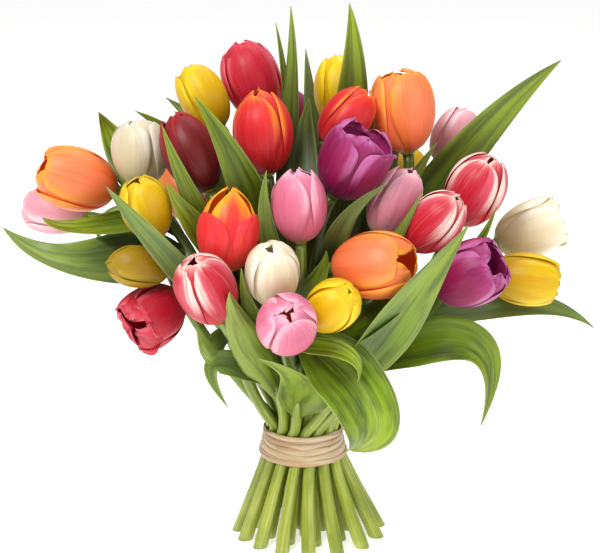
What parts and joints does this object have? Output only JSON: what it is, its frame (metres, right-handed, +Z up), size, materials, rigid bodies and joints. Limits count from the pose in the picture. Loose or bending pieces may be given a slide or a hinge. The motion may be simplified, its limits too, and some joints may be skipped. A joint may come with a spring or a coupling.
{
  "type": "tied bunch of tulips",
  "caption": "Hand-tied spiral bunch of tulips in mixed colours with their leaves, bound with raffia and standing on its own splayed cut stems.",
  "frame": {"origin": "middle of the foot: the centre of the middle stem's cut end, on the surface that the bunch stands on", "axes": "+Z up along the middle stem where it stands; -Y is the front that the picture shows, +X is to the right seen from the front"},
  "size_m": [0.4386, 0.343, 0.405],
  "materials": {
    "leaf_and_stem": "waxy fresh green leaf, satin, with fine lengthwise veins; stems paler",
    "petal_dark_red": "satin petal, softly streaked lengthwise",
    "petal_flame": "satin petal, softly streaked lengthwise",
    "petal_lilac": "satin petal, softly streaked lengthwise",
    "petal_orange": "satin petal, softly streaked lengthwise",
    "petal_pale_pink": "satin petal, softly streaked lengthwise",
    "petal_pink": "satin petal, softly streaked lengthwise",
    "petal_purple": "satin petal, softly streaked lengthwise",
    "petal_red": "satin petal, softly streaked lengthwise",
    "petal_scarlet": "satin petal, softly streaked lengthwise",
    "petal_striped": "satin petal, softly streaked lengthwise",
    "petal_white": "satin petal, softly streaked lengthwise",
    "petal_yellow": "satin petal, softly streaked lengthwise",
    "raffia": "dry, matt straw-coloured plant fibre in flat strands"
  },
  "bodies": {
    "root": {"dark_red_bloom": "petal_dark_red", "dark_red_leafy_stem": "leaf_and_stem", "flame_front_bloom": "petal_flame", "flame_front_leafy_stem": "leaf_and_stem", "inner_leafy_stems": "leaf_and_stem", "lilac_right_bloom": "petal_lilac", "lilac_right_leafy_stem": "leaf_and_stem", "orange_back_bloom": "petal_orange", "orange_back_leafy_stem": "leaf_and_stem", "orange_front_bloom": "petal_orange", "orange_front_leafy_stem": "leaf_and_stem", "orange_high_bloom": "petal_orange", "orange_high_leafy_stem": "leaf_and_stem", "orange_left_bloom": "petal_orange", "orange_left_leafy_stem": "leaf_and_stem", "pink_far_bloom": "petal_pale_pink", "pink_far_leafy_stem": "leaf_and_stem", "pink_front_bloom": "petal_pink", "pink_front_leafy_stem": "leaf_and_stem", "pink_left_bloom": "petal_pale_pink", "pink_left_leafy_stem": "leaf_and_stem", "pink_middle_bloom": "petal_pink", "purple_back_bloom": "petal_purple", "purple_back_leafy_stem": "leaf_and_stem", "purple_middle_bloom": "petal_purple", "purple_right_bloom": "petal_purple", "purple_right_leafy_stem": "leaf_and_stem", "raffia_tie": "raffia", "red_back_bloom": "petal_red", "red_back_leafy_stem": "leaf_and_stem", "red_high_bloom": "petal_red", "red_low_bloom": "petal_red", "red_low_leafy_stem": "leaf_and_stem", "scarlet_high_bloom": "petal_scarlet", "scarlet_small_bloom": "petal_scarlet", "striped_far_bloom": "petal_striped", "striped_far_leafy_stem": "leaf_and_stem", "striped_left_bloom": "petal_striped", "striped_left_leafy_stem": "leaf_and_stem", "striped_right_bloom": "petal_striped", "striped_right_leafy_stem": "leaf_and_stem", "white_front_bloom": "petal_white", "white_front_leafy_stem": "leaf_and_stem", "white_left_bloom": "petal_white", "white_left_leafy_stem": "leaf_and_stem", "white_right_bloom": "petal_white", "white_right_leafy_stem": "leaf_and_stem", "yellow_back_bloom": "petal_yellow", "yellow_back_leafy_stem": "leaf_and_stem", "yellow_front_bloom": "petal_yellow", "yellow_front_leafy_stem": "leaf_and_stem", "yellow_high_bloom": "petal_yellow", "yellow_left_bloom": "petal_yellow", "yellow_left_leafy_stem": "leaf_and_stem", "yellow_low_bloom": "petal_yellow", "yellow_low_leafy_stem": "leaf_and_stem", "yellow_peak_bloom": "petal_yellow", "yellow_peak_leafy_stem": "leaf_and_stem", "yellow_right_bloom": "petal_yellow", "yellow_right_leafy_stem": "leaf_and_stem"}
  },
  "joints": []
}
